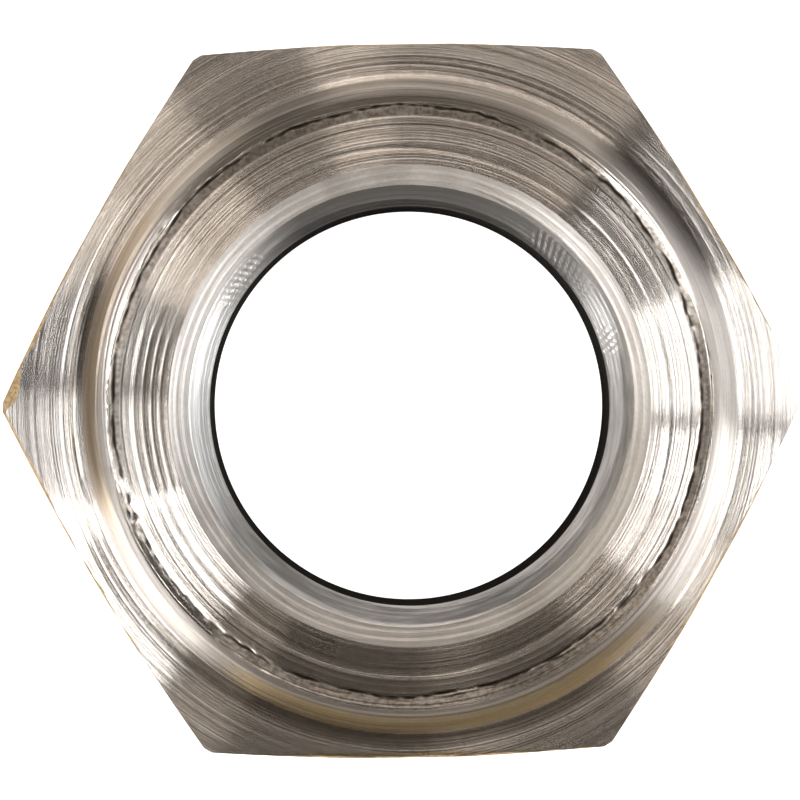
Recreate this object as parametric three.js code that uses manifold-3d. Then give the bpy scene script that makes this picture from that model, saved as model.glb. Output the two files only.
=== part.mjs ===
// A plain hex nut, M14 x 1.5, 22 mm across the flats, turned from hexagon bar and tapped.
// Millimetres, +Z up along the thread's axis. The origin is the middle of the plain back face, which
// the nut rests on; the raised washer face is on top. Two corners lie on the X axis.
import * as THREE from "three";
import { mergeVertices } from "three/addons/utils/BufferGeometryUtils.js";
import Module from "manifold-3d";

const wasm = await Module();
wasm.setup();

// ---- Driving sizes, in millimetres and degrees ----

// Hexagon bar
const ACROSS_FLATS = 22;
const HEIGHT = 11; // overall, from the back face to the washer face
const CORNER_TRIM = 0.28; // how far the bar's corners lie inside those of a true hexagon
const FLAT_STRAIGHT = 6; // the straight middle of each flat, which falls away a little to the corners
const BACK_CHAMFER_ANGLE = 30; // from the back face
const BACK_FACE_MARGIN = 0.55; // from the flats in to the back face's round edge
const FRONT_EDGE_BREAK = 0.1; // small 45 degree break on the corners of the front

// Raised washer face
const WASHER_FACE_HEIGHT = 0.5; // above the hexagon's front face
const WASHER_FACE_MARGIN = 1.36; // from the flats in to the rim
const LIP_WIDTH = 0.28; // the narrow bright lip inside the rim
const TEAR_WIDTH = 0.4; // the rough groove inside the lip
const TEAR_DEPTH = 0.12;

// Thread and its mouths
const THREAD_DIAMETER = 14;
const THREAD_PITCH = 1.5;
const THREAD_START_ANGLE = 37.5; // where the thread's mid-groove lies at the back face's height
const COUNTERSINK_MARGIN = 0.42; // from the thread's major radius out to the front mouth
const COUNTERSINK_ANGLE = 45; // from the axis
const LEAD_IN_WIDTH = 0.63; // from the thread's minor radius out to the countersink's foot
const LEAD_IN_ANGLE = 30; // from the axis
const BACK_MOUTH_MARGIN = 0.3; // from the thread's major radius out to the back mouth, cut at 45 degrees

// Fineness of the facets
const ROUND_STEPS = 48; // round a full circle, and along each turn of the thread
const RIM_STEPS = 96; // round the outer rings and the corners' chamfers
const FILLET_STEPS = 5; // round the washer face's foot

const CUT_OVERRUN = 1; // how far a cutting body runs past the face that it cuts
const THREAD_OVERRUN = 0.15; // how far the thread's cutting body reaches inside the minor radius

// ---- Sizes that follow ----

const rad = THREE.MathUtils.degToRad;
const flatRadius = ACROSS_FLATS / 2;
const cornerRadius = flatRadius / Math.cos(rad(30)) - CORNER_TRIM;
const shoulderHeight = HEIGHT - WASHER_FACE_HEIGHT;
const rimRadius = flatRadius - WASHER_FACE_MARGIN;
const backFaceRadius = flatRadius - BACK_FACE_MARGIN;
const majorRadius = THREAD_DIAMETER / 2;
const threadDepth = (5 / 8) * THREAD_PITCH * Math.cos(rad(30)); // ISO metric basic profile
const minorRadius = majorRadius - threadDepth;

// ---- Helpers ----

// A closed geometry as a manifold solid.
function solidOf(geometry) {
  geometry.deleteAttribute("normal");
  geometry.deleteAttribute("uv");
  const merged = mergeVertices(geometry, 1e-4);
  const mesh = new wasm.Mesh({
    numProp: 3,
    vertProperties: merged.attributes.position.array,
    triVerts: new Uint32Array(merged.index.array),
  });
  return new wasm.Manifold(mesh);
}

// A manifold solid as a geometry.
function geometryOf(solid) {
  const mesh = solid.getMesh();
  const geometry = new THREE.BufferGeometry();
  geometry.setAttribute("position", new THREE.BufferAttribute(mesh.vertProperties, 3));
  geometry.setIndex(new THREE.BufferAttribute(mesh.triVerts, 1));
  geometry.computeVertexNormals();
  return geometry;
}

// The solid that a profile of [radius, height] points sweeps round the Z axis, from its lowest point
// on the axis up to its highest.
function turned(profile, steps) {
  const points = profile.map(([radius, height]) => new THREE.Vector2(radius, height));
  return solidOf(new THREE.LatheGeometry(points, steps).rotateX(Math.PI / 2));
}

// The point at a radius and an angle, on the plane.
function polar(radius, angle) {
  return new THREE.Vector2(radius * Math.cos(angle), radius * Math.sin(angle));
}

// ---- Features ----

// The drawn hexagon bar up to the shoulder, its flats slightly crowned.
function hexagonBar() {
  const straightEnd = new THREE.Vector2(flatRadius, FLAT_STRAIGHT / 2);
  const points = [];
  for (let side = 0; side < 6; side++) {
    const corner = side * rad(60);
    const flat = corner + rad(30);
    points.push(polar(cornerRadius, corner));
    points.push(polar(straightEnd.length(), flat - straightEnd.angle()));
    points.push(polar(straightEnd.length(), flat + straightEnd.angle()));
  }
  const outline = new THREE.Shape(points);
  return solidOf(new THREE.ExtrudeGeometry(outline, { depth: shoulderHeight, bevelEnabled: false }));
}

// The turned outside that trims the bar's corners: a wide chamfer at the back and a small break at
// the front.
function cornerEnvelope() {
  const beyond = cornerRadius + CUT_OVERRUN;
  const chamferRise = (beyond - backFaceRadius) * Math.tan(rad(BACK_CHAMFER_ANGLE));
  const breakRise = FRONT_EDGE_BREAK + CUT_OVERRUN;
  return turned(
    [
      [0, 0],
      [backFaceRadius, 0],
      [beyond, chamferRise],
      [beyond, shoulderHeight - breakRise],
      [cornerRadius - FRONT_EDGE_BREAK, shoulderHeight],
      [0, shoulderHeight],
    ],
    RIM_STEPS,
  );
}

// The raised washer face: a concave fillet at its foot, a narrow lip, and a rough groove inside it.
function washerFace() {
  const filletCentre = [rimRadius + WASHER_FACE_HEIGHT, HEIGHT];
  const profile = [
    [0, shoulderHeight - CUT_OVERRUN],
    [filletCentre[0], shoulderHeight - CUT_OVERRUN],
  ];
  for (let step = 0; step <= FILLET_STEPS; step++) {
    const turn = (step / FILLET_STEPS) * (Math.PI / 2);
    profile.push([
      filletCentre[0] - WASHER_FACE_HEIGHT * Math.sin(turn),
      filletCentre[1] - WASHER_FACE_HEIGHT * Math.cos(turn),
    ]);
  }
  const tearOuter = rimRadius - LIP_WIDTH;
  profile.push(
    [tearOuter, HEIGHT],
    [tearOuter - TEAR_WIDTH / 2, HEIGHT - TEAR_DEPTH],
    [tearOuter - TEAR_WIDTH, HEIGHT],
    [0, HEIGHT],
  );
  return turned(profile, RIM_STEPS);
}

// The drilled hole with its mouths: a plain one at the back, and at the front a countersink that
// runs into a steeper lead-in.
function hole() {
  const backMouth = majorRadius + BACK_MOUTH_MARGIN;
  const backMouthDepth = backMouth - minorRadius; // the same as its width, at 45 degrees
  const frontMouth = majorRadius + COUNTERSINK_MARGIN;
  const leadInMouth = minorRadius + LEAD_IN_WIDTH;
  const countersinkSlope = Math.tan(rad(COUNTERSINK_ANGLE));
  const countersinkDepth = (frontMouth - leadInMouth) / countersinkSlope;
  const leadInDepth = LEAD_IN_WIDTH / Math.tan(rad(LEAD_IN_ANGLE));
  const overrunWidth = CUT_OVERRUN * countersinkSlope;
  return turned(
    [
      [0, -CUT_OVERRUN],
      [backMouth + CUT_OVERRUN, -CUT_OVERRUN],
      [minorRadius, backMouthDepth],
      [minorRadius, HEIGHT - countersinkDepth - leadInDepth],
      [leadInMouth, HEIGHT - countersinkDepth],
      [frontMouth + overrunWidth, HEIGHT + CUT_OVERRUN],
      [0, HEIGHT + CUT_OVERRUN],
    ],
    ROUND_STEPS,
  );
}

// The right-hand thread's groove: one closed body with a 60 degree section, wound from below the
// back face to above the washer face, so that it runs out in both mouths.
function threadGroove() {
  const rootHalfWidth = THREAD_PITCH / 16;
  const innerRadius = minorRadius - THREAD_OVERRUN;
  const innerHalfWidth = rootHalfWidth + (majorRadius - innerRadius) * Math.tan(rad(30));
  const section = [
    [innerRadius, -innerHalfWidth],
    [majorRadius, -rootHalfWidth],
    [majorRadius, rootHalfWidth],
    [innerRadius, innerHalfWidth],
  ];
  const sides = section.length;
  const turns = Math.ceil(HEIGHT / THREAD_PITCH) + 2;
  const rings = turns * ROUND_STEPS;
  const positions = [];
  const triangles = [];
  for (let ring = 0; ring <= rings; ring++) {
    const angle = (ring / ROUND_STEPS) * 2 * Math.PI + rad(THREAD_START_ANGLE);
    const height = (ring / ROUND_STEPS - 1) * THREAD_PITCH;
    for (const [radius, offset] of section) {
      positions.push(radius * Math.cos(angle), radius * Math.sin(angle), height + offset);
    }
  }
  for (let ring = 0; ring < rings; ring++) {
    for (let side = 0; side < sides; side++) {
      const here = ring * sides + side;
      const next = ring * sides + ((side + 1) % sides);
      triangles.push(here, here + sides, next + sides, here, next + sides, next);
    }
  }
  const last = rings * sides;
  triangles.push(0, 1, 2, 0, 2, 3);
  triangles.push(last, last + 2, last + 1, last, last + 3, last + 2);
  const geometry = new THREE.BufferGeometry();
  geometry.setAttribute("position", new THREE.Float32BufferAttribute(positions, 3));
  geometry.setIndex(triangles);
  return solidOf(geometry);
}

// ---- The nut ----

function nutBody() {
  const blank = hexagonBar().intersect(cornerEnvelope()).add(washerFace());
  const tapped = blank.subtract(hole()).subtract(threadGroove());
  const steel = new THREE.MeshStandardMaterial({ color: 0xa79d90, metalness: 1, roughness: 0.35 });
  const mesh = new THREE.Mesh(geometryOf(tapped), steel);
  mesh.name = "nut_body";
  return mesh;
}

const nut = new THREE.Group();
nut.add(nutBody());

export default nut;
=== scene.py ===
"""The looks of the hex nut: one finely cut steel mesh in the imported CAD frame, its steels, the studio."""

import math

import bpy
import numpy as np
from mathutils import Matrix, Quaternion, Vector


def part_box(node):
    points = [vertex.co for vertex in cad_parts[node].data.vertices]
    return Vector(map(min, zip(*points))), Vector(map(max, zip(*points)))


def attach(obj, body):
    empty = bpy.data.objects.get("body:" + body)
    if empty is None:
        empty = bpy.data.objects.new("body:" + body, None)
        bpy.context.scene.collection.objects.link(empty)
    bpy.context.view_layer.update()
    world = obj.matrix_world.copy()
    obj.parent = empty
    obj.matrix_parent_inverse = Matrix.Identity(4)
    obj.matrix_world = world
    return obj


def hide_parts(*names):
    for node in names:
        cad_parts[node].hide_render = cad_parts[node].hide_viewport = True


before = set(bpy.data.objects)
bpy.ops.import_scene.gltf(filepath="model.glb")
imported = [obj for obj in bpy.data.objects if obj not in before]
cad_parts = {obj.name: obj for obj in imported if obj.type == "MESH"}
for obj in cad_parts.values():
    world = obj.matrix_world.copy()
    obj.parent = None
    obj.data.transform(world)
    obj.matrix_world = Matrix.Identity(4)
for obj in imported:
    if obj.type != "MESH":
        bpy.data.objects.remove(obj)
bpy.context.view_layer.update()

MM = 0.001  # a millimetre in metres; every size below is in millimetres, angles are in degrees

# ---- Sizes of the nut, as the CAD part has them ----

NODE = "nut_body"
LOW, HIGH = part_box(NODE)
FLAT_RADIUS = HIGH.y / MM
CORNER_RADIUS = HIGH.x / MM
HEIGHT = HIGH.z / MM
SHOULDER = HEIGHT - 0.5  # the hexagon's front face, at the foot of the raised washer face
MAJOR_RADIUS = 7.0
PITCH = 1.5
MINOR_RADIUS = MAJOR_RADIUS - 0.625 * PITCH * math.cos(math.radians(30))
BACK_CHAMFER_ANGLE = 30
THREAD_START = 37.5  # where the groove's middle lies at the height of the back face
LEAD_IN_WIDTH = 0.63
LEAD_IN_RADIUS = MINOR_RADIUS + LEAD_IN_WIDTH
MOUTH_RADIUS = MAJOR_RADIUS + 0.42
BACK_MOUTH_RADIUS = MAJOR_RADIUS + 0.3
BACK_FACE_RADIUS = FLAT_RADIUS - 0.55
RIM_RADIUS = FLAT_RADIUS - 1.36
LIP_WIDTH = 0.28
TEAR_WIDTH = 0.4
TEAR_INNER = RIM_RADIUS - LIP_WIDTH - TEAR_WIDTH
FOOT_RADIUS = RIM_RADIUS + (HEIGHT - SHOULDER)
LEAD_IN_FOOT = HEIGHT - (MOUTH_RADIUS - LEAD_IN_RADIUS)
BORE_TOP = LEAD_IN_FOOT - LEAD_IN_WIDTH / math.tan(math.radians(30))

# ---- Surface detail: arcs are (middle, half width, fade) ----

COLUMNS = 600  # round the nut
BLANK_RADIUS = CORNER_RADIUS + 0.3  # the turned blank, which the bar's corners stay inside
SHARP_ANGLE = 30  # faces that meet at more than this show an edge

# The turned faces
FEED = 0.26  # the cutting tool's advance in each turn, which spaces the turned lines
FACE_FALL = 4.15  # how steeply the turned faces fall towards the outside
FALL_SLOPE = math.tan(math.radians(FACE_FALL))
RING_SWAY = (-0.08, 0.15)  # how far the washer face's rim was turned off the thread's axis
SWAY_START = (8.3, 9.0)  # the radii that the sway grows between
SWAY_END = (FOOT_RADIUS + 0.1, FOOT_RADIUS + 0.9)  # the radii that it dies away between

# The lead-in and the countersink
CHATTER_ARCS = ((42, 10, 3, 1.0), (18, 3, 2, 0.7), (142, 7, 4, 0.6))  # each arc, and its strength
CHATTER_RIDGES = 180  # in a full circle
CHATTER_SLANT = 3  # how far round a ridge leans from the foot of the lead-in to its mouth
CHATTER_DEPTH = 0.014
STEP_MARKS = 2.6  # waves across the countersink
STEP_MARK_DEPTH = 0.006

# The washer face
BAND_RADIUS = 8.12  # where its two turned bands meet, on average
BAND_SWAY = 0.2  # how far that step wanders out, the most towards BAND_SWAY_ANGLE
BAND_SWAY_ANGLE = 235
SEAM_DEPTH = 0.014
SEAM_WIDTH = 0.05
FEED_DEPTH = 0.0005  # half the depth of the feed grooves all round
RIDGE_DEPTH = 0.007  # how much greater that is in RIDGE_ARC
RIDGE_ARC = (180, 15, 5)
RIDGE_END = 8.45  # the radius that the deep ones stop at
RIDGE_FADE = 0.15

# The torn ring
TEAR_BASE = FALL_SLOPE * (TEAR_INNER - MOUTH_RADIUS)  # how far below the top the torn ring starts
LIP_WALL = 0.03  # how far below the top it ends
FURROWS = ((0.12, 0.045, 0.07), (0.25, 0.025, 0.04))  # place in the ring, width, depth
FURROW_ARCS = ((165, 45, 20), (290, 30, 20))  # the second furrow keeps to these

# The hexagon's front face
SHOULDER_LINES = ((10.2, 0.02), (10.41, 0.014), (10.66, 0.012), (11.62, 0.008))  # radius, depth
SHOULDER_LINE_HALF_WIDTH = 0.035
SHOULDER_LINE_BOTTOM = 0.01  # a row nearer than this to a line's middle is lowered
SHOULDER_LINES_ARC = (180, 20, 30)  # where those lines are at their deepest
SHOULDER_LINES_ELSEWHERE = 0.35  # of that depth
EASED_ARC = (178, 12, 14)  # where the shoulder falls less, by EASED_SHARE
EASED_SHARE = 0.8
EDGE_HEIGHT = SHOULDER - FALL_SLOPE * (FLAT_RADIUS - FOOT_RADIUS)  # of this face at the flats

# The bar
HEXAGON_SHIFT = (-0.22, 0.16)  # how far the bar sat off the axis while it was turned
FLAT_CROWN = 0.24  # how far a flat falls away from its middle to the corners
CROWN_START = 1.5  # how far from a flat's middle the fall starts
CORNER_FACET = 0.35  # the width of the worn facet on each corner
EDGE_BEVEL = 0.05  # the worn edge round the hexagon's front
BEVEL_SPREAD = 0.35  # how uneven that bevel is
CHIPPED_FLAT = 150  # the flat whose far end has a wider bevel, CHIP_LENGTH long and CHIP_WIDTH wide
CHIP_LENGTH = 1.3
CHIP_WIDTH = 0.26

# The steels' scoring
TURNED_ROUGHNESS = 0.22
FINE_LINES = 400.0  # lines in a millimetre
FINE_SLOPE = 0.45  # the steepest side of a fine line
FOOT_SLOPE = 0.95  # the same in the fillet at the washer face's foot
COARSE_SLOPE = 0.014  # the steepest side of a line that shows

# ---- Marks, painted reflections and painted shade: arcs as above, rings are (inner radius, outer radius, fade) ----

# Painted reflections and shade on the fillet at the foot: golden below, tan on the left, darker at the top
# and the lower left
PAINTED_GOLD_FOOT_REFLECTION_ARC = (272, 32, 22)
PAINTED_TAN_FOOT_REFLECTION_ARC = (172, 24, 14)
PAINTED_DARK_FOOT_SHADE_ARC = (92, 24, 14)
SHADED_FOOT_ARC = (218, 14, 8)
# Where the torn ring and its furrows are darkened less
LIGHTER_TEAR_ARC = (211, 16, 10)
DULL_CORNER_ARC = (173, 14, 10)
# Painted shade at the top of the lead-in, and a painted highlight on its left
PAINTED_THREAD_SHADE_ARC = (80, 38, 22)
PAINTED_THREAD_HIGHLIGHT_ARC = (180, 22, 14)
# Darker bands on the lower left, in the rings below
DARK_BAND_ARC = (262, 36, 14)
DARK_BAND_RINGS = ((7.6, 8.12, 0.5), (8.45, 8.88, 0.45), (10.14, 10.48, 0.7))  # inner, outer, strength
FOOT_RING = (RIM_RADIUS - 0.02, FOOT_RADIUS - 0.1, 0.1)
LIP_RING = (RIM_RADIUS - LIP_WIDTH + 0.02, RIM_RADIUS - 0.04, 0.03)
TORN_RING = (8.98, 9.24, 0.07)
FURROW_RING = (8.85, 9.45, 0.05)
RIDGE_RING = (MOUTH_RADIUS, RIDGE_END, 0.1)
CORNER_RING = (10.2, 12.6, 0.1)
DARK_BAND_FADE = 0.07
PAINTED_EDGE_REFLECTION_BAND = (0.28, 0.4)  # how far in from the CAD's lowest flat the painted golden reflection along the bottom edge starts and stops fading
STANDING = 0.3  # a face stands along the axis when the upward part of its normal is below this,
LYING = 0.9  # and lies across the axis when it is above this
FLATS_START = 10.5  # every standing face outside this radius is the bar's
BACK_MOUTH_TOP = 1.0  # the hole's faces below this height are plain turned steel

NOISE_SPAN = (0.3, 0.7)  # the levels that most of a noise texture lies between

# Painted shadow: the hole below the lead-in, near black
PAINTED_BORE_SHADOW = (0.03, 0.027, 0.024, 1)
# Painted shade in the bottoms of the torn ring's furrows
PAINTED_FURROW_SHADE = (0.09, 0.075, 0.06, 1)
# Darker bands on the lower left
DARK_BAND_BROWN = (0.2, 0.165, 0.13, 1)
# Painted shade at the top of the lead-in
PAINTED_THREAD_SHADE = (0.2, 0.19, 0.18, 1)
# Painted shade in the bottoms of the feed grooves on the left
PAINTED_RIDGE_SHADE = (0.24, 0.18, 0.14, 1)
TORN_BROWN = (0.3, 0.26, 0.22, 1)
# Painted shade on the fillet at the top
PAINTED_DARK_FOOT_SHADE = (0.3, 0.27, 0.24, 1)
CONE_MOTTLE = (0.34, 0.3, 0.26, 1)
MOTTLE_BROWN = (0.4, 0.32, 0.24, 1)
SHADED_FOOT = (0.4, 0.36, 0.32, 1)
CORNER_GREY = (0.42, 0.4, 0.385, 1)
LIP_GREY = (0.46, 0.42, 0.39, 1)
# Painted reflection on the fillet on the left
PAINTED_TAN_FOOT_REFLECTION = (0.5, 0.4, 0.29, 1)
# Painted golden reflection along the bottom edge
PAINTED_EDGE_GOLD_REFLECTION = (0.55, 0.44, 0.26, 1)
PLAIN_FOOT = (0.56, 0.53, 0.5, 1)
# Painted golden reflection on the fillet below
PAINTED_GOLD_FOOT_REFLECTION = (0.74, 0.57, 0.3, 1)
# Painted highlight on the lead-in on the left
PAINTED_THREAD_HIGHLIGHT = (0.95, 0.94, 0.93, 1)
TURNED_TONES = ((0.69, 0.635, 0.585, 1), (0.84, 0.8, 0.76, 1))  # darker and lighter streaks
CONE_TONES = ((0.53, 0.5, 0.475, 1), (0.69, 0.665, 0.64, 1))
THREAD_TONES = ((0.5, 0.48, 0.46, 1), (0.84, 0.82, 0.8, 1))
DRAWN_TONES = ((0.2, 0.185, 0.165, 1), (0.4, 0.38, 0.355, 1))
WORN_TONES = ((0.24, 0.16, 0.08, 1), (0.44, 0.33, 0.19, 1))

ANGLES = np.arange(COLUMNS) * 2 * np.pi / COLUMNS
DEGREES = np.degrees(ANGLES)
RANDOM = np.random.default_rng(7)


def smooth_step(low, high, value):
    """0 below low, 1 above high, and a smooth rise between them."""
    t = np.clip((value - low) / (high - low), 0, 1)
    return t * t * (3 - 2 * t)


def arc_window(middle, half_width, fade):
    """1 within half_width degrees of an angle round the nut, fading to 0 over fade degrees."""
    away = np.abs((DEGREES - middle + 180) % 360 - 180)
    return 1 - smooth_step(half_width, half_width + fade, away)


def ring_noise(slowest, fastest):
    """Smooth noise round the nut, with a spread of 1, from waves that fit the circle."""
    total = np.zeros(COLUMNS)
    for waves in range(slowest, fastest + 1):
        total += np.cos(waves * ANGLES + RANDOM.uniform(0, 2 * np.pi))
    return total / total.std()


# ---- The turned blank: rows of (radius, height) round the nut, from the back of the hole out ----


def flat_rows(points):
    """Plain turned rows, one for each (radius, height)."""
    return [(np.full(COLUMNS, float(r)), np.full(COLUMNS, float(z))) for r, z in points]


def bore_rows():
    """The back mouth and the drilled hole, up to the lead-in."""
    points = [(BACK_MOUTH_RADIUS, 0.0), (MINOR_RADIUS, BACK_MOUTH_RADIUS - MINOR_RADIUS)]
    points += [(MINOR_RADIUS, z) for z in np.linspace(3.0, BORE_TOP - 0.02, 4)]
    return flat_rows(points)


def chatter():
    """How strong the ridges are that the countersink's cutter left in the lead-in."""
    return sum(strength * arc_window(*arc) for *arc, strength in CHATTER_ARCS)


def lead_in_rows():
    """The steep cone above the hole, with the cutter's chatter."""
    rows = []
    strength = chatter()
    steps = 12
    for step in range(steps):
        share = step / steps
        radius = MINOR_RADIUS + share * (LEAD_IN_RADIUS - MINOR_RADIUS)
        height = BORE_TOP + share * (LEAD_IN_FOOT - BORE_TOP)
        ridge = np.cos(np.radians(CHATTER_RIDGES * (DEGREES - CHATTER_SLANT * share)))
        swell = math.sin(math.pi * share) ** 0.5
        rows.append((radius + CHATTER_DEPTH * swell * strength * ridge, np.full(COLUMNS, height)))
    return rows


def countersink_rows():
    """The wide cone above the lead-in, in faint steps."""
    rows = []
    wander = ring_noise(2, 7)
    steps = 9
    for step in range(steps):
        share = step / steps
        radius = LEAD_IN_RADIUS + share * (MOUTH_RADIUS - LEAD_IN_RADIUS)
        height = LEAD_IN_FOOT + share * (HEIGHT - LEAD_IN_FOOT)
        step_mark = STEP_MARK_DEPTH * np.sin(2 * np.pi * share * STEP_MARKS + 0.5 * wander)
        rows.append((radius + step_mark, np.full(COLUMNS, height) - 0.4 * step_mark))
    return rows


def annulus_rows():
    """The washer face: two turned bands that meet in a wandering step, with feed grooves on the left."""
    rows = []
    sway = BAND_SWAY * np.cos(ANGLES - math.radians(BAND_SWAY_ANGLE))
    boundary = BAND_RADIUS + sway + 0.02 * ring_noise(2, 6)
    ridged = arc_window(*RIDGE_ARC)
    for radius in np.linspace(MOUTH_RADIUS, TEAR_INNER, 38):
        fall = FALL_SLOPE * (radius - MOUTH_RADIUS)
        seam = SEAM_DEPTH * (1 - ridged) * np.exp(-(((radius - boundary) / SEAM_WIDTH) ** 2))
        ridge_zone = ridged * (1 - smooth_step(RIDGE_END, RIDGE_END + RIDGE_FADE, radius))
        groove = (FEED_DEPTH + RIDGE_DEPTH * ridge_zone) * (np.cos(2 * np.pi * radius / FEED) - 1)
        rows.append((np.full(COLUMNS, radius), HEIGHT - fall - seam + groove))
    return rows


def tear_rows():
    """The torn ring: a ragged furrow, with a shorter one beside it, up to the lip's inner wall."""
    rows = []
    strengths = (1.0, sum(arc_window(*arc) for arc in FURROW_ARCS))
    furrows = []
    for (offset, width, depth), strength in zip(FURROWS, strengths):
        place = TEAR_INNER + offset + 0.022 * ring_noise(3, 25) + 0.008 * ring_noise(30, 120)
        bite = np.clip(0.8 + 0.3 * ring_noise(5, 50) + 0.2 * ring_noise(50, 150), 0.15, 1.6)
        furrows.append((place, width, depth * bite * strength))
    for radius in np.linspace(TEAR_INNER, TEAR_INNER + TEAR_WIDTH, 15)[1:-1]:
        depth = np.zeros(COLUMNS)
        for place, width, bite in furrows:
            depth += bite * np.exp(-(((radius - place) / width) ** 2))
        rise = smooth_step(0.5, 1.0, (radius - TEAR_INNER) / TEAR_WIDTH)
        base = TEAR_BASE * (1 - rise) + LIP_WALL * rise
        rows.append((np.full(COLUMNS, radius), HEIGHT - base - depth))
    return rows


def lip_rows():
    """The narrow lip outside the torn ring, which wanders a little."""
    wander = 0.012 * ring_noise(2, 9) + 0.0015 * ring_noise(20, 90)
    points = [(-LIP_WIDTH, -0.05), (-LIP_WIDTH + 0.05, 0.0), (-0.09, -0.005), (-0.03, -0.02), (0.0, -0.05)]
    return [(RIM_RADIUS + offset + wander, np.full(COLUMNS, HEIGHT + drop)) for offset, drop in points]


def fillet_rows():
    """The concave foot of the washer face."""
    rows = []
    radius = HEIGHT - SHOULDER
    wander = 0.012 * ring_noise(2, 9)
    for turn in np.radians(np.linspace(80, 0, 9)):
        out = FOOT_RADIUS - radius * math.sin(turn)
        height = HEIGHT - radius * math.cos(turn)
        rows.append((out + wander, np.full(COLUMNS, height)))
    return rows


def shoulder_rows():
    """The hexagon's front face, out to the turned corners, with a few deeper tool lines."""
    rows = []
    radii = list(np.linspace(FOOT_RADIUS + 0.05, BLANK_RADIUS, 13))
    for middle, _ in SHOULDER_LINES:
        radii += [middle + side * SHOULDER_LINE_HALF_WIDTH for side in (-1, 0, 1)]
    deepest = arc_window(*SHOULDER_LINES_ARC)
    strength = SHOULDER_LINES_ELSEWHERE + (1 - SHOULDER_LINES_ELSEWHERE) * deepest
    steepness = FALL_SLOPE * (1 - EASED_SHARE * arc_window(*EASED_ARC))
    for radius in sorted(radii):
        height = SHOULDER - steepness * (radius - FOOT_RADIUS)
        for middle, depth in SHOULDER_LINES:
            if abs(radius - middle) < SHOULDER_LINE_BOTTOM:
                height = height - depth * strength
        rows.append((np.full(COLUMNS, radius), height))
    return rows


def outside_rows():
    """The blank's outside, the back chamfer and the back face, down to the back mouth."""
    chamfer_rise = (BLANK_RADIUS - BACK_FACE_RADIUS) * math.tan(math.radians(BACK_CHAMFER_ANGLE))
    points = [(BLANK_RADIUS, HEIGHT / 2), (BLANK_RADIUS, chamfer_rise)]
    points += [(BACK_FACE_RADIUS + 0.02, 0.012), (BACK_FACE_RADIUS - 0.04, 0.0)]
    points += [(r, 0.0) for r in np.linspace(BACK_FACE_RADIUS - 0.4, BACK_MOUTH_RADIUS + 0.3, 6)]
    return flat_rows(points)


def ring_sway(radius, height):
    """How much of RING_SWAY a row takes: all of it at the rim, none in the hole or on the flats."""
    rise = smooth_step(*SWAY_START, radius)
    fall = 1 - smooth_step(*SWAY_END, radius)
    return rise * fall * (height > HEIGHT / 2)


def closed_mesh(name, rows):
    """A mesh from rows of points round a ring, the last row joined to the first."""
    count = len(rows)
    radius = np.array([r for r, _ in rows])
    height = np.array([z for _, z in rows])
    sway = ring_sway(radius, height)
    x = radius * np.cos(ANGLES) + sway * RING_SWAY[0]
    y = radius * np.sin(ANGLES) + sway * RING_SWAY[1]
    points = np.stack([x, y, height], axis=2).reshape(-1, 3) * MM
    faces = []
    for row in range(count):
        here = row * COLUMNS
        up = ((row + 1) % count) * COLUMNS
        for column in range(COLUMNS):
            after = (column + 1) % COLUMNS
            faces.append((here + column, up + column, up + after, here + after))
    mesh = bpy.data.meshes.new(name)
    mesh.from_pydata(points.tolist(), [], faces)
    mesh.update()
    return mesh


def make_object(mesh):
    """An object in the scene that shows the mesh."""
    piece = bpy.data.objects.new(mesh.name, mesh)
    bpy.context.scene.collection.objects.link(piece)
    return piece


def turned_blank():
    """The whole turned body, before the flats and the thread are cut."""
    rows = bore_rows() + lead_in_rows() + countersink_rows() + annulus_rows() + tear_rows()
    rows += lip_rows() + fillet_rows() + shoulder_rows() + outside_rows()
    return make_object(closed_mesh("nut_body_turned", rows))


# ---- The bodies that cut the blank ----


def capped_stack(name, rings):
    """A closed mesh from equal rings of points, lowest first, capped at both ends."""
    size = len(rings[0])
    faces = [tuple(reversed(range(size)))]
    for level in range(len(rings) - 1):
        here, up = level * size, (level + 1) * size
        for index in range(size):
            after = (index + 1) % size
            faces.append((here + index, here + after, up + after, up + index))
    top = (len(rings) - 1) * size
    faces.append(tuple(range(top, top + size)))
    mesh = bpy.data.meshes.new(name)
    mesh.from_pydata([(x * MM, y * MM, z * MM) for ring in rings for x, y, z in ring], [], faces)
    mesh.update()
    return mesh


def hexagon_bar():
    """The bar's six crowned flats, with a worn bevel round the front edge."""
    overrun = 1.0
    wear = np.random.default_rng(11)
    half = (FLAT_RADIUS - FLAT_CROWN) * math.tan(math.radians(30)) - CORNER_FACET / 2
    outline = []
    chips = []
    for flat in np.arange(6) * 60 + 30:
        middle = math.radians(flat)
        for along in np.linspace(-half, half, 32):
            chip = smooth_step(half - CHIP_LENGTH, half, along) if flat == CHIPPED_FLAT else 0.0
            chips.append(CHIP_WIDTH * chip)
            share = max(abs(along) - CROWN_START, 0) / (half - CROWN_START)
            out = FLAT_RADIUS - FLAT_CROWN * share**1.3
            x = out * math.cos(middle) - along * math.sin(middle)
            y = out * math.sin(middle) + along * math.cos(middle)
            outline.append((x, y))
    bevels = EDGE_BEVEL * (1 + BEVEL_SPREAD * wear.standard_normal(len(outline))) + chips
    levels = (
        [(1.0, -overrun)] * len(outline),
        [(1.0, EDGE_HEIGHT - bevel) for bevel in bevels],
        [(1 - (overrun + bevel) / FLAT_RADIUS, EDGE_HEIGHT + overrun) for bevel in bevels],
    )
    rings = []
    for level in levels:
        ring = []
        for (x, y), (scale, z) in zip(outline, level):
            ring.append((x * scale + HEXAGON_SHIFT[0], y * scale + HEXAGON_SHIFT[1], z))
        rings.append(ring)
    return make_object(capped_stack("hexagon_bar", rings))


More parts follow.
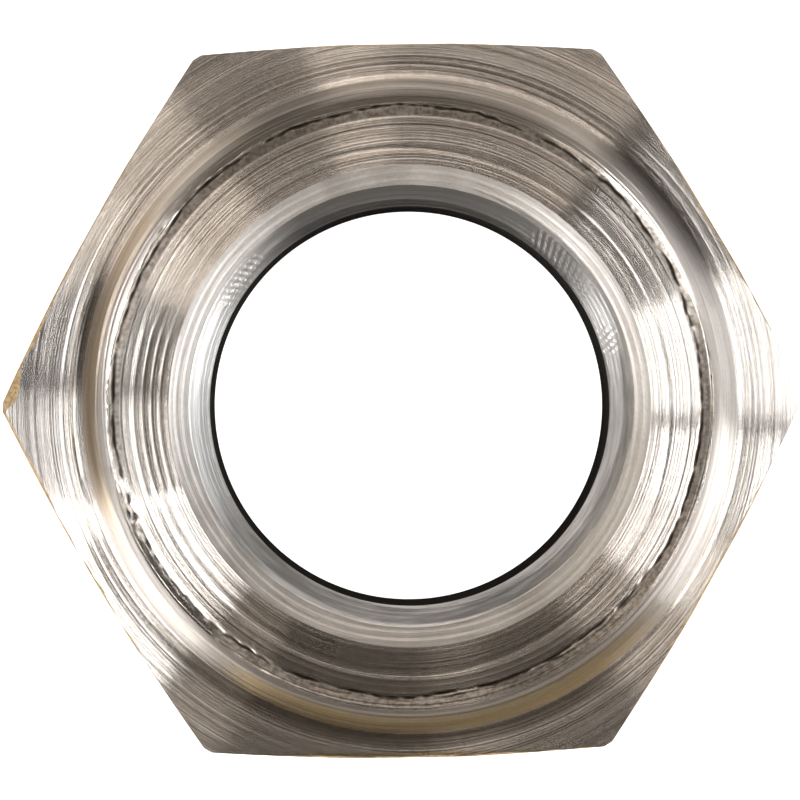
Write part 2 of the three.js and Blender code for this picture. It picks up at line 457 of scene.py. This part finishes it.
def thread_groove():
    """The tap's path: a 60 degree section wound from below the back face to above the washer face."""
    steps_per_turn = 240
    overrun = 0.15
    root = PITCH / 16
    inner = MINOR_RADIUS - overrun
    reach = root + (MAJOR_RADIUS - inner) * math.tan(math.radians(30))
    section = [(inner, -reach), (MAJOR_RADIUS - 0.03, -root - 0.02), (MAJOR_RADIUS, 0.0)]
    section += [(MAJOR_RADIUS - 0.03, root + 0.02), (inner, reach)]
    turns = math.ceil(HEIGHT / PITCH) + 2
    rings = []
    for step in range(turns * steps_per_turn + 1):
        turn = step / steps_per_turn
        angle = 2 * math.pi * turn + math.radians(THREAD_START)
        height = (turn - 1) * PITCH
        rings.append([(r * math.cos(angle), r * math.sin(angle), height + z) for r, z in section])
    return make_object(capped_stack("thread_groove", rings))


def cut(piece, tool, operation):
    """Joins a boolean with another solid into the piece's own mesh, and drops the other solid."""
    modifier = piece.modifiers.new(operation.lower(), "BOOLEAN")
    modifier.operation = operation
    modifier.solver = "MANIFOLD"
    modifier.object = tool
    evaluated = piece.evaluated_get(bpy.context.evaluated_depsgraph_get())
    made = bpy.data.meshes.new_from_object(evaluated)
    piece.modifiers.clear()
    old = piece.data
    made.name = old.name + "_cut"
    piece.data = made
    bpy.data.meshes.remove(old)
    bpy.data.objects.remove(tool)


# ---- Steels ----


class Nodes:
    """Short calls for building a material's node tree."""

    def __init__(self, name=None, tree=None):
        self.tree = tree
        if name:
            self.material = bpy.data.materials.new(name)
            self.material.use_nodes = True
            self.tree = self.material.node_tree
            self.shader = self.tree.nodes["Principled BSDF"]

    def link(self, source, target):
        """Joins an output to an input, or sets the input to a plain value."""
        if isinstance(source, (int, float, tuple)):
            target.default_value = source
        else:
            self.tree.links.new(source, target)

    def add(self, kind, inputs=(), output=0, **settings):
        """Makes a node with these settings and first inputs, and gives one of its outputs."""
        node = self.tree.nodes.new(kind)
        for key, value in settings.items():
            setattr(node, key, value)
        for index, source in enumerate(inputs):
            if source is not None:
                self.link(source, node.inputs[index])
        return node.outputs[output]

    def math(self, operation, a, b=0.0, c=0.0):
        return self.add("ShaderNodeMath", (a, b, c), operation=operation)

    def mix(self, share, a, b):
        """A color that goes from a to b as share goes from 0 to 1."""
        node = self.tree.nodes.new("ShaderNodeMix")
        node.data_type = "RGBA"
        self.link(share, node.inputs[0])
        self.link(a, node.inputs[6])
        self.link(b, node.inputs[7])
        return node.outputs[2]

    def product(self, *values):
        """The values multiplied together."""
        result = values[0]
        for value in values[1:]:
            result = self.math("MULTIPLY", result, value)
        return result

    def tones(self, value, pair):
        """A darker and a lighter tone, mixed by a noise value."""
        return self.mix(self.span(value, *NOISE_SPAN), *pair)

    def span(self, value, low, high, new_low=0.0, new_high=1.0):
        """A smooth passage from new_low to new_high, as the value goes from low to high."""
        inputs = (value, low, high, new_low, new_high)
        return self.add("ShaderNodeMapRange", inputs, interpolation_type="SMOOTHSTEP")

    def noise(self, vector, scale, detail=2.0, roughness=0.5):
        node = self.tree.nodes.new("ShaderNodeTexNoise")
        self.link(vector, node.inputs["Vector"])
        node.inputs["Scale"].default_value = scale
        node.inputs["Detail"].default_value = detail
        node.inputs["Roughness"].default_value = roughness
        return node.outputs["Fac"]


class TurnedPlace:
    """Where a point of the nut lies, in millimetres and degrees round the thread's axis."""

    def __init__(self, nodes):
        place = nodes.add("ShaderNodeTexCoord", output=3)
        x, y, z = (nodes.add("ShaderNodeSeparateXYZ", (place,), output=k) for k in range(3))
        self.x, self.y, self.height = (nodes.math("DIVIDE", value, MM) for value in (x, y, z))
        squares = [nodes.math("MULTIPLY", value, value) for value in (self.x, self.y)]
        self.radius = nodes.math("SQRT", nodes.math("ADD", *squares))
        self.cosine = nodes.math("DIVIDE", self.x, self.radius)
        self.sine = nodes.math("DIVIDE", self.y, self.radius)
        self.angle = nodes.math("MULTIPLY", nodes.math("ARCTAN2", self.y, self.x), 180 / math.pi)
        self.nodes = nodes

    def streak(self, across, along, detail=3.0):
        """Noise drawn out round the axis: across is its fineness over a millimetre of the section, and
        along is its fineness round the circle."""
        nodes = self.nodes
        section = nodes.math("MULTIPLY", nodes.math("SUBTRACT", self.radius, self.height), across)
        cosine, sine = (nodes.math("MULTIPLY", value, along) for value in (self.cosine, self.sine))
        return nodes.noise(nodes.add("ShaderNodeCombineXYZ", (section, cosine, sine)), 1.0, detail, 0.6)

    def sector(self, middle, half_width, fade):
        """1 within half_width degrees of an angle, fading to 0 over fade degrees."""
        nodes = self.nodes
        turned = nodes.math("WRAP", nodes.math("SUBTRACT", self.angle, middle), 180.0, -180.0)
        return nodes.span(nodes.math("ABSOLUTE", turned), half_width, half_width + fade, 1.0, 0.0)

    def grain(self, low, high, new_low, new_high):
        """A fine even mottling, brought from between two noise levels to between two others."""
        nodes = self.nodes
        spot = nodes.noise(nodes.add("ShaderNodeCombineXYZ", (self.x, self.y, self.height)), 7.0, 3.0, 0.6)
        return nodes.span(spot, low, high, new_low, new_high)

    def ring(self, low, high, fade):
        """1 between two radii, fading to 0 over fade millimetres outside them."""
        nodes = self.nodes
        rise = nodes.span(self.radius, low - fade, low)
        return nodes.math("MULTIPLY", rise, nodes.span(self.radius, high, high + fade, 1.0, 0.0))


def tool_lines(nodes, place, fine_slope, coarse_slope):
    """The normal of a surface scored by the cutting tool: it tilts only across the lines. The fine
    lines are too close to be seen one by one, and draw out the highlights; the coarse ones show."""
    groove = nodes.math("MULTIPLY", nodes.math("SUBTRACT", place.radius, place.height), FINE_LINES)
    fine = nodes.add("ShaderNodeTexWhiteNoise", (None, nodes.math("FLOOR", groove)), noise_dimensions="1D")
    signed = nodes.math("MULTIPLY", nodes.math("SUBTRACT", fine, 0.5), 2.0)
    fine = nodes.math("MULTIPLY", signed, fine_slope)
    coarse = nodes.math("MULTIPLY", nodes.math("SUBTRACT", place.streak(7.0, 1.2), 0.5), 4 * coarse_slope)
    slope = nodes.math("ADD", fine, coarse)
    outward = nodes.add(
        "ShaderNodeCombineXYZ",
        (nodes.math("MULTIPLY", place.cosine, slope), nodes.math("MULTIPLY", place.sine, slope), 0.0),
    )
    geometry = nodes.add("ShaderNodeNewGeometry", output=1)
    tilted = nodes.add("ShaderNodeVectorMath", (geometry, outward), operation="ADD")
    return nodes.add("ShaderNodeVectorMath", (tilted,), operation="NORMALIZE")


def scored_steel(nodes, place, roughness, anisotropy, fine_slope, coarse_slope):
    """Makes the shader a bare metal scored round the axis."""
    shader = nodes.shader
    shader.inputs["Metallic"].default_value = 1.0
    nodes.link(roughness, shader.inputs["Roughness"])
    shader.inputs["Anisotropic"].default_value = anisotropy
    shader.inputs["Anisotropic Rotation"].default_value = 0.25
    tangent = nodes.add("ShaderNodeTangent", direction_type="RADIAL", axis="Z")
    nodes.link(tangent, shader.inputs["Tangent"])
    nodes.link(tool_lines(nodes, place, fine_slope, coarse_slope), shader.inputs["Normal"])


def foot_color(nodes, place):
    """The fillet at the washer face's foot: grey, with painted reflections, golden below and tan on the
    left, and painted shade at the top and lower left.
    """
    color = nodes.mix(place.sector(*PAINTED_GOLD_FOOT_REFLECTION_ARC), PLAIN_FOOT, PAINTED_GOLD_FOOT_REFLECTION)
    color = nodes.mix(place.sector(*PAINTED_TAN_FOOT_REFLECTION_ARC), color, PAINTED_TAN_FOOT_REFLECTION)
    color = nodes.mix(place.sector(*PAINTED_DARK_FOOT_SHADE_ARC), color, PAINTED_DARK_FOOT_SHADE)
    return nodes.mix(place.sector(*SHADED_FOOT_ARC), color, SHADED_FOOT)


def ridge_shade_share(nodes, place):
    """Where painted shade darkens the bottoms of the washer face's feed grooves."""
    wave = nodes.math("COSINE", nodes.math("MULTIPLY", place.radius, 2 * math.pi / FEED))
    bottoms = nodes.span(wave, -0.2, -0.9)
    return nodes.product(bottoms, place.ring(*RIDGE_RING), place.sector(*RIDGE_ARC), 0.75)


def torn_shares(nodes, place):
    """How torn the ring inside the lip is, and how deep in its furrows a point lies."""
    # The torn ring and its furrows are darkened less on the lower left
    tear_strength = nodes.math("SUBTRACT", 1.0, nodes.product(place.sector(*LIGHTER_TEAR_ARC), 0.75))
    torn = nodes.product(place.ring(*TORN_RING), place.grain(0.35, 0.6, 0.9, 0.5), tear_strength)
    top = HEIGHT - TEAR_BASE
    # The deeper in a furrow, the more painted shade
    furrow = nodes.span(place.height, top - 0.05, top - 0.008, 0.92, 0.0)
    return torn, nodes.product(furrow, place.ring(*FURROW_RING), tear_strength)


def darkened_bands(nodes, place, color):
    """The color with dark bands on the lower left and a dull left corner."""
    arc = place.sector(*DARK_BAND_ARC)
    for low, high, strength in DARK_BAND_RINGS:
        band = nodes.product(arc, place.ring(low, high, DARK_BAND_FADE), strength)
        color = nodes.mix(band, color, DARK_BAND_BROWN)
    corner = nodes.product(place.sector(*DULL_CORNER_ARC), place.ring(*CORNER_RING), 0.5)
    return nodes.mix(corner, color, CORNER_GREY)


def turned_steel():
    """The faces cut on the lathe: fine lines round the axis in a warm grey steel, with painted reflections
    on the fillet and along the bottom edge, and painted shade on the fillet, in the feed grooves and in the
    torn ring's furrows.
    """
    nodes = Nodes("lathe_steel")
    place = TurnedPlace(nodes)
    foot, lip = place.ring(*FOOT_RING), place.ring(*LIP_RING)
    torn, furrow = torn_shares(nodes, place)
    color = nodes.tones(place.streak(9.0, 1.5), TURNED_TONES)
    color = nodes.mix(place.grain(*NOISE_SPAN, 0.24, 0.0), color, MOTTLE_BROWN)
    foot_share = nodes.product(foot, nodes.span(place.streak(16.0, 1.5), 0.3, 0.65, 0.95, 0.45))
    # Painted reflections and shade on the fillet
    color = nodes.mix(foot_share, color, foot_color(nodes, place))
    # Painted shade in the bottoms of the feed grooves
    color = nodes.mix(ridge_shade_share(nodes, place), color, PAINTED_RIDGE_SHADE)
    # Darker bands on the lower left, and a dull left corner
    color = darkened_bands(nodes, place, color)
    color = nodes.mix(nodes.product(lip, 0.75), color, LIP_GREY)
    color = nodes.mix(torn, color, TORN_BROWN)
    # Painted shade in the furrows
    color = nodes.mix(furrow, color, PAINTED_FURROW_SHADE)
    # Painted golden reflection along the bottom edge
    edge_start, edge_end = (-FLAT_RADIUS + inward for inward in PAINTED_EDGE_REFLECTION_BAND)
    edge = nodes.span(place.y, edge_start, edge_end, 0.75, 0.0)
    nodes.link(nodes.mix(edge, color, PAINTED_EDGE_GOLD_REFLECTION), nodes.shader.inputs["Base Color"])
    roughness = TURNED_ROUGHNESS
    for share, rise in ((foot, 0.12), (furrow, 0.3), (torn, 0.35), (lip, 0.2)):
        roughness = nodes.math("ADD", roughness, nodes.product(share, rise))
    slope = nodes.math("ADD", FINE_SLOPE, nodes.product(foot, FOOT_SLOPE - FINE_SLOPE))
    scored_steel(nodes, place, roughness, anisotropy=1.0, fine_slope=slope, coarse_slope=COARSE_SLOPE)
    return nodes.material


def countersunk_steel():
    """The countersink's satin cone."""
    nodes = Nodes("countersunk_steel")
    place = TurnedPlace(nodes)
    color = nodes.tones(place.streak(6.0, 2.0), CONE_TONES)
    color = nodes.mix(place.grain(*NOISE_SPAN, 0.2, 0.0), color, CONE_MOTTLE)
    nodes.link(color, nodes.shader.inputs["Base Color"])
    roughness = nodes.span(place.streak(5.0, 6.0), *NOISE_SPAN, 0.52, 0.64)
    scored_steel(nodes, place, roughness, anisotropy=0.2, fine_slope=0.27, coarse_slope=0.1)
    return nodes.material


def tapped_steel():
    """The thread and the cone that it starts in, dull down the hole and painted near black there as shadow,
    with painted shade and a painted highlight round the lead-in.
    """
    nodes = Nodes("tapped_steel")
    place = TurnedPlace(nodes)
    color = nodes.tones(place.streak(8.0, 3.0), THREAD_TONES)
    # Painted shade at the top of the lead-in and a painted highlight on its left
    color = nodes.mix(place.sector(*PAINTED_THREAD_SHADE_ARC), color, PAINTED_THREAD_SHADE)
    color = nodes.mix(place.sector(*PAINTED_THREAD_HIGHLIGHT_ARC), color, PAINTED_THREAD_HIGHLIGHT)
    # Painted shadow down the hole: near black below the lead-in
    depth = nodes.span(place.height, BORE_TOP - 0.3, BORE_TOP + 0.1, 1.0, 0.0)
    nodes.link(nodes.mix(depth, color, PAINTED_BORE_SHADOW), nodes.shader.inputs["Base Color"])
    roughness = nodes.math("ADD", 0.36, nodes.product(depth, 0.3))
    scored_steel(nodes, place, roughness, anisotropy=0.4, fine_slope=0.75, coarse_slope=0.1)
    nodes.link(nodes.math("SUBTRACT", 1.0, depth), nodes.shader.inputs["Metallic"])
    nodes.shader.inputs["Specular IOR Level"].default_value = 0.0
    return nodes.material


def drawn_steel():
    """The bar's flats, drawn along the axis."""
    nodes = Nodes("drawn_steel")
    place = TurnedPlace(nodes)
    around, along = 60.0, 0.25  # how fine the lines are across and along
    x, y = (nodes.math("MULTIPLY", value, around) for value in (place.cosine, place.sine))
    z = nodes.math("MULTIPLY", place.height, along)
    lines = nodes.noise(nodes.add("ShaderNodeCombineXYZ", (x, y, z)), 1.0, 5.0, 0.65)
    nodes.link(nodes.tones(lines, DRAWN_TONES), nodes.shader.inputs["Base Color"])
    nodes.link(nodes.span(lines, *NOISE_SPAN, 0.42, 0.28), nodes.shader.inputs["Roughness"])
    nodes.shader.inputs["Metallic"].default_value = 1.0
    nodes.shader.inputs["Anisotropic"].default_value = 0.6
    tangent = nodes.add("ShaderNodeTangent", direction_type="RADIAL", axis="Z")
    nodes.link(tangent, nodes.shader.inputs["Tangent"])
    bump = nodes.tree.nodes.new("ShaderNodeBump")
    bump.inputs["Strength"].default_value = 0.35
    bump.inputs["Distance"].default_value = 0.02 * MM
    nodes.link(lines, bump.inputs["Height"])
    nodes.link(bump.outputs[0], nodes.shader.inputs["Normal"])
    return nodes.material


def worn_edge_steel():
    """The worn and stained bevel round the hexagon's front."""
    nodes = Nodes("worn_edge_steel")
    place = TurnedPlace(nodes)
    nodes.link(nodes.tones(place.grain(0.0, 1.0, 0.0, 1.0), WORN_TONES), nodes.shader.inputs["Base Color"])
    nodes.link(place.grain(*NOISE_SPAN, 0.4, 0.6), nodes.shader.inputs["Roughness"])
    nodes.shader.inputs["Metallic"].default_value = 0.6
    return nodes.material


def assign_steels(mesh):
    """Gives each face of the nut the steel of the tool that cut it, and the front edge's bevel its own."""
    for steel in (turned_steel(), countersunk_steel(), tapped_steel(), drawn_steel(), worn_edge_steel()):
        mesh.materials.append(steel)
    turned, countersunk, tapped, drawn, worn_edge = range(5)
    for face in mesh.polygons:
        x, y, height = (value / MM for value in face.center)
        radius = math.hypot(x, y)
        slanting = STANDING < face.normal.z < LYING
        flat = abs(face.normal.z) < STANDING and radius > FLATS_START
        if radius > FOOT_RADIUS + 0.3 and height > HEIGHT / 2 and slanting:
            face.material_index = worn_edge
        elif radius > MOUTH_RADIUS:
            face.material_index = drawn if flat else turned
        elif height > LEAD_IN_FOOT and radius > LEAD_IN_RADIUS:
            face.material_index = countersunk
        elif height > BACK_MOUTH_TOP:
            face.material_index = tapped
        else:
            face.material_index = turned


# ---- Studio ----


def floor():
    """The plain pale floor, which glows to stay white."""
    size = 400
    mesh = bpy.data.meshes.new("studio_floor")
    corners = [(-size, -size), (size, -size), (size, size), (-size, size)]
    mesh.from_pydata([(x * MM, y * MM, 0) for x, y in corners], [], [(0, 1, 2, 3)])
    piece = make_object(mesh)
    nodes = Nodes("studio_floor")
    nodes.shader.inputs["Base Color"].default_value = (0.8, 0.8, 0.8, 1)
    nodes.shader.inputs["Roughness"].default_value = 0.9
    nodes.shader.inputs["Emission Color"].default_value = (1, 1, 1, 1)
    nodes.shader.inputs["Emission Strength"].default_value = 1.0
    mesh.materials.append(nodes.material)


def studio_world():
    """Soft boxes in a dark room, and warm walls low down on two sides. Each is (middle azimuth, half
    width, lowest elevation, highest elevation, brightness, color), its angles in degrees."""
    surround = (0.05, 0.044, 0.038)
    fade = 1.5
    white = (1.0, 1.0, 1.0)
    dull = (1.0, 0.91, 0.82)
    warm = (1.0, 0.88, 0.7)
    soft_boxes = (
        (213, 15, 20, 40, 17.0, white),
        (235, 6, 20, 40, 2.0, dull),
        (78, 27, 20, 40, 3.4, dull),
        (346, 8, 20, 40, 16.0, white),
        (330, 8, 20, 40, 9.5, white),
        (9, 12, 40, 60, 8.5, white),
        (141, 15, 40, 60, 3.4, dull),
        (109, 16, 40, 60, 1.2, dull),
        (160, 42, 0, 18, 1.4, warm),
        (275, 45, 0, 18, 0.9, warm),
    )
    world = bpy.data.worlds.new("studio_world")
    bpy.context.scene.world = world
    world.use_nodes = True
    background = world.node_tree.nodes["Background"]
    nodes = Nodes(tree=world.node_tree)
    direction = nodes.add("ShaderNodeTexCoord")
    x, y, z = (nodes.add("ShaderNodeSeparateXYZ", (direction,), output=k) for k in range(3))
    azimuth = nodes.math("MULTIPLY", nodes.math("ARCTAN2", y, x), 180 / math.pi)
    elevation = nodes.math("MULTIPLY", nodes.math("ARCSINE", z), 180 / math.pi)
    light = surround
    for middle, half_width, lowest, highest, brightness, color in soft_boxes:
        turned = nodes.math("WRAP", nodes.math("SUBTRACT", azimuth, float(middle)), 180.0, -180.0)
        away = nodes.math("ABSOLUTE", turned)
        window = nodes.span(away, half_width - fade / 2, half_width + fade / 2, brightness, 0.0)
        rise = nodes.span(elevation, lowest - fade / 2, lowest + fade / 2)
        fall = nodes.span(elevation, highest - fade / 2, highest + fade / 2, 1.0, 0.0)
        box = nodes.product(window, rise, fall)
        box = nodes.add("ShaderNodeVectorMath", (box, color), operation="MULTIPLY")
        light = nodes.add("ShaderNodeVectorMath", (light, box), operation="ADD")
    nodes.link(light, background.inputs["Color"])


def camera():
    """A long lens over the washer face, a little off its axis."""
    distance = 250.0
    width = 24.65  # what the picture takes in at the height of the hexagon's front face
    aim_point = Vector((-0.3, 0.19, SHOULDER)) * MM
    to_camera = Vector((-0.9, 0.3, distance)) * MM
    roll = math.radians(-0.9)
    data = bpy.data.cameras.new("camera")
    data.lens = data.sensor_width * distance / width
    data.clip_end = 10
    seen = bpy.data.objects.new("camera", data)
    bpy.context.scene.collection.objects.link(seen)
    seen.location = aim_point + to_camera
    aim = Vector((0, 0, -1)).rotation_difference(aim_point - seen.location)
    seen.rotation_euler = (aim @ Quaternion((0, 0, 1), roll)).to_euler()
    bpy.context.scene.camera = seen


def nut():
    """The visual nut: the blank, cut by the bar's flats and the tap, in the CAD node's place."""
    piece = turned_blank()
    cut(piece, hexagon_bar(), "INTERSECT")
    cut(piece, thread_groove(), "DIFFERENCE")
    mesh = piece.data
    mesh.materials.clear()
    assign_steels(mesh)
    mesh.shade_smooth()
    mesh.set_sharp_from_angle(angle=math.radians(SHARP_ANGLE))
    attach(piece, "root")
    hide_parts(NODE)
    return piece


nut()
floor()
studio_world()
camera()
bpy.context.scene.view_settings.view_transform = "Standard"
